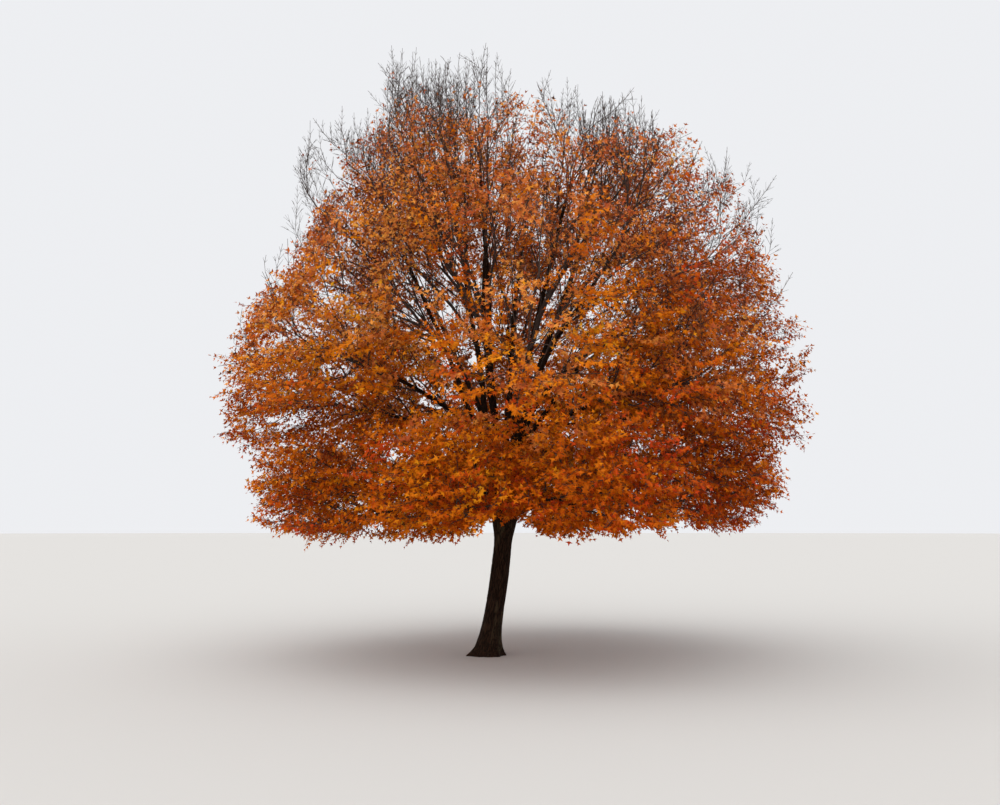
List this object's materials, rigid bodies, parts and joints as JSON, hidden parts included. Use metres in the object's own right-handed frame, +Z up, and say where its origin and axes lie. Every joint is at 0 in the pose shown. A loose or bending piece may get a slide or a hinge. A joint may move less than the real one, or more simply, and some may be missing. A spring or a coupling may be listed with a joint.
{
  "type": "bigtooth maple tree",
  "caption": "Bigtooth maple in autumn: a short leaning trunk, steep spreading boughs and a broad domed crown of orange leaves with bare twigs along its top.",
  "frame": {"origin": "middle of the flat cut under the trunk, at ground level", "axes": "+Z up, +X to the right and +Y away, as the tree's front is seen; the trunk leans towards +X"},
  "size_m": [7.4535, 7.956, 7.3194],
  "materials": {
    "bark": "rough, finely furrowed dark brown bark",
    "crest_leaves": "matt autumn leaves, a little glossy on the upper face",
    "upper_leaves": "matt autumn leaves, a little glossy on the upper face",
    "shoulder_leaves": "matt autumn leaves, a little glossy on the upper face",
    "skirt_leaves": "matt autumn leaves, a little glossy on the upper face",
    "heart_leaves": "matt autumn leaves, a little glossy on the upper face"
  },
  "bodies": {
    "root": {"bough_crest_1": "bark", "bough_crest_2": "bark", "bough_crest_3": "bark", "bough_crest_4": "bark", "bough_crest_5": "bark", "bough_heart_1": "bark", "bough_shoulder_1": "bark", "bough_shoulder_2": "bark", "bough_shoulder_3": "bark", "bough_shoulder_4": "bark", "bough_shoulder_5": "bark", "bough_shoulder_6": "bark", "bough_shoulder_7": "bark", "bough_shoulder_8": "bark", "bough_skirt_1": "bark", "bough_skirt_2": "bark", "bough_skirt_3": "bark", "bough_skirt_4": "bark", "bough_skirt_5": "bark", "bough_skirt_6": "bark", "bough_skirt_7": "bark", "bough_skirt_8": "bark", "bough_upper_1": "bark", "bough_upper_2": "bark", "bough_upper_3": "bark", "bough_upper_4": "bark", "bough_upper_5": "bark", "bough_upper_6": "bark", "bough_upper_7": "bark", "leaves_crest_1": "crest_leaves", "leaves_crest_2": "crest_leaves", "leaves_crest_3": "crest_leaves", "leaves_crest_4": "crest_leaves", "leaves_crest_5": "crest_leaves", "leaves_heart_1": "heart_leaves", "leaves_shoulder_1": "shoulder_leaves", "leaves_shoulder_2": "shoulder_leaves", "leaves_shoulder_3": "shoulder_leaves", "leaves_shoulder_4": "shoulder_leaves", "leaves_shoulder_5": "shoulder_leaves", "leaves_shoulder_6": "shoulder_leaves", "leaves_shoulder_7": "shoulder_leaves", "leaves_shoulder_8": "shoulder_leaves", "leaves_skirt_1": "skirt_leaves", "leaves_skirt_2": "skirt_leaves", "leaves_skirt_3": "skirt_leaves", "leaves_skirt_4": "skirt_leaves", "leaves_skirt_5": "skirt_leaves", "leaves_skirt_6": "skirt_leaves", "leaves_skirt_7": "skirt_leaves", "leaves_skirt_8": "skirt_leaves", "leaves_upper_1": "upper_leaves", "leaves_upper_2": "upper_leaves", "leaves_upper_3": "upper_leaves", "leaves_upper_4": "upper_leaves", "leaves_upper_5": "upper_leaves", "leaves_upper_6": "upper_leaves", "leaves_upper_7": "upper_leaves", "trunk": "bark"}
  },
  "joints": []
}
